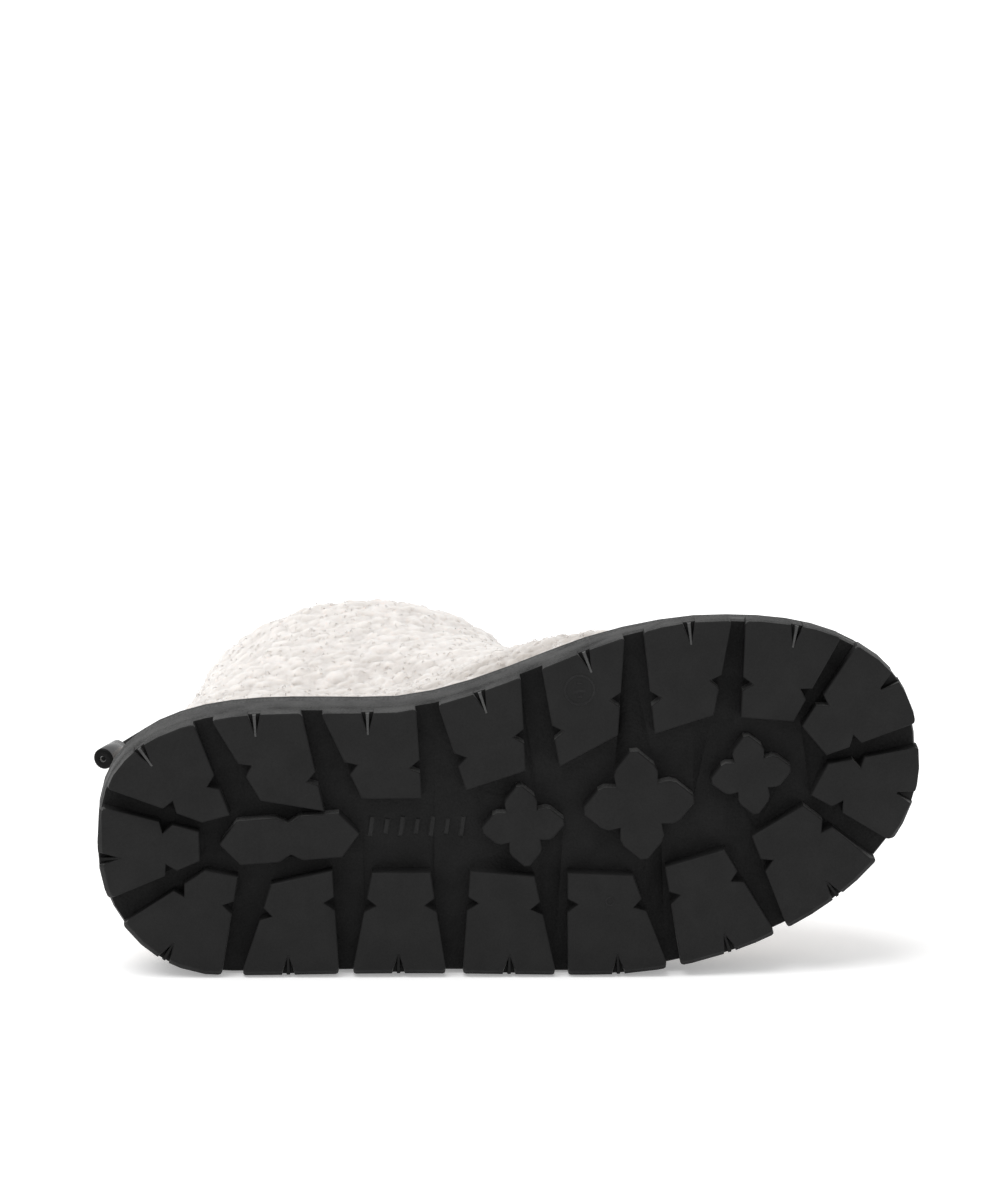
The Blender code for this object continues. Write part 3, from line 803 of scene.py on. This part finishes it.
def dress_insole():
    """The fleece footbed."""
    made = piece("fleece_insole", welded("insole"), [FLEECE])
    applied(made, "REMESH", mode="VOXEL", voxel_size=INSOLE_VOXEL)
    applied(made, "SMOOTH", iterations=3, factor=0.5)
    mesh = made.data
    curl_shade = np.zeros(len(mesh.vertices), dtype=np.float32)
    normals = [v.normal.copy() for v in mesh.vertices]
    for v, normal in zip(mesh.vertices, normals):
        height = curls(v.co)
        # Painted shade: the fleece's tone is darker between the curls
        curl_shade[v.index] = height
        aside = normal - DOWN * normal.dot(DOWN)
        if normal.dot(DOWN) < INSOLE_FACING:
            v.co += normal * (height - INSOLE_LEVEL) * INSOLE_NAP
        v.co += aside * (FILL_LEVEL + FILL_RELIEF * height) * INSOLE_FILL
    store_curl_shade(mesh, curl_shade)
    mesh.shade_smooth()
    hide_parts("insole")


# Cord


def smooth_route(points, parts):
    """Points of a smooth curve through a route's own points."""
    fine = []
    for i in range(len(points) - 1):
        a, b = points[i], points[i + 1]
        before, after = points[max(i - 1, 0)], points[min(i + 2, len(points) - 1)]
        for j in range(parts):
            t = j / parts
            bend = 2 * a + (b - before) * t + (2 * before - 5 * a + 4 * b - after) * t**2
            fine.append((bend + (3 * a - before - 3 * b + after) * t**3) / 2)
    fine.append(points[-1])
    return fine


def knot_path():
    """The overhand turns of the knot that stops the cord inside the collar."""
    path = []
    for i in range(KNOT_STEPS + 1):
        share = i / KNOT_STEPS
        angle = 2 * math.pi * KNOT_TURNS * share
        reach = KNOT_RADIUS * math.sin(math.pi * min(1.0, 0.15 + share)) ** 0.5
        x = KNOT_START + (KNOT_END - KNOT_START) * share
        y = CORD_ROUTE[0][1] + reach * math.cos(angle)
        z = CORD_ROUTE[0][2] + reach * math.sin(angle)
        path.append(boot_point(x, y, z))
    return path


def curve_piece(name, path, diameter, finish):
    """A round strand along a path."""
    curve = bpy.data.curves.new(name, "CURVE")
    curve.dimensions = "3D"
    curve.fill_mode = "FULL"
    curve.bevel_depth = diameter / 2
    curve.bevel_resolution = 4
    curve.use_fill_caps = True
    line = curve.splines.new("POLY")
    line.points.add(len(path) - 1)
    for point, place in zip(line.points, path):
        point.co = (*place, 1.0)
    curve.materials.append(finish)
    return placed(name, curve)


def dress_cord():
    """The pull cord with its knot, and its moulded end."""
    black = cord_black()
    fine = smooth_route([Vector(p) for p in CORD_ROUTE], 3)
    cord = curve_piece("pull_cord_sheath", [boot_point(*row) for row in fine], CORD_DIAMETER, black)
    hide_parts("pull_cord")
    knot = curve_piece("pull_cord_knot", knot_path(), KNOT_STRAND, black)
    barrel = dress_cord_end()


def dress_cord_end():
    """The moulded barrel: a gloss side, and a dull dark face with its dimple."""
    shape = welded("cord_end")
    shape.normal_update()
    route = [boot_point(*row) for row in CORD_ROUTE[-2:]]
    ahead = (route[1] - route[0]).normalized()
    for f in shape.faces:
        f.material_index = 1 if f.normal.dot(ahead) > 0.6 else 0
    made = piece("cord_end_barrel", shape, [barrel_gloss(), barrel_dull()], smooth_angle=40)
    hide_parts("cord_end")
    return made


# Studio


def white_surroundings():
    """White all round, and one broad light from above."""
    world = bpy.data.worlds.new("studio")
    bpy.context.scene.world = world
    world.use_nodes = True
    background = world.node_tree.nodes["Background"]
    background.inputs["Color"].default_value = (1, 1, 1, 1)
    background.inputs["Strength"].default_value = WORLD_LIGHT
    light = bpy.data.lights.new("softbox", "SUN")
    light.energy = SUN_LIGHT
    light.angle = math.radians(SUN_SPREAD)
    lamp = bpy.data.objects.new("softbox", light)
    lamp.location = SUN_PLACE
    lamp.rotation_euler = (-Vector(SUN_PLACE)).to_track_quat("-Z", "Y").to_euler()
    bpy.context.scene.collection.objects.link(lamp)


def white_floor():
    """The floor that the boot lies on."""
    white = material(
        "studio_floor",
        (FLOOR_TONE, FLOOR_TONE, FLOOR_TONE),
        0.9,
        Specular_IOR_Level=0.0,
        Emission_Color=(1, 1, 1, 1),
        Emission_Strength=FLOOR_GLOW,
    )
    shape = bmesh.new()
    bmesh.ops.create_grid(shape, x_segments=1, y_segments=1, size=FLOOR_SIZE)
    mesh = bpy.data.meshes.new("studio_floor")
    shape.to_mesh(mesh)
    shape.free()
    mesh.materials.append(white)
    floor = bpy.data.objects.new("studio_floor", mesh)
    bpy.context.scene.collection.objects.link(floor)


def place_camera():
    """The camera at the photograph's angle."""
    azimuth, elevation = math.radians(CAMERA_AZIMUTH), math.radians(CAMERA_ELEVATION)
    level = math.cos(elevation)
    back = Vector((math.sin(azimuth) * level, -math.cos(azimuth) * level, math.sin(elevation)))
    data = bpy.data.cameras.new("camera")
    data.lens = CAMERA_LENS
    data.sensor_width = 36
    data.clip_start, data.clip_end = 0.05, 200
    camera = bpy.data.objects.new("camera", data)
    bpy.context.scene.collection.objects.link(camera)
    camera.rotation_mode = "QUATERNION"
    camera.location = Vector(CAMERA_AIM) + back * CAMERA_DISTANCE
    look = (-back).to_track_quat("-Z", "Y")
    roll = Matrix.Rotation(math.radians(CAMERA_ROLL), 4, -back).to_quaternion()
    camera.rotation_quaternion = roll.inverted() @ look
    bpy.context.scene.camera = camera


bpy.context.scene.view_settings.view_transform = "Standard"
white_surroundings()
white_floor()
place_camera()
dress_outsole()
dress_marks()
wool_mesh, wool_outside = dress_upper()
dress_tufts(wool_mesh, wool_outside)
dress_insole()
dress_cord()
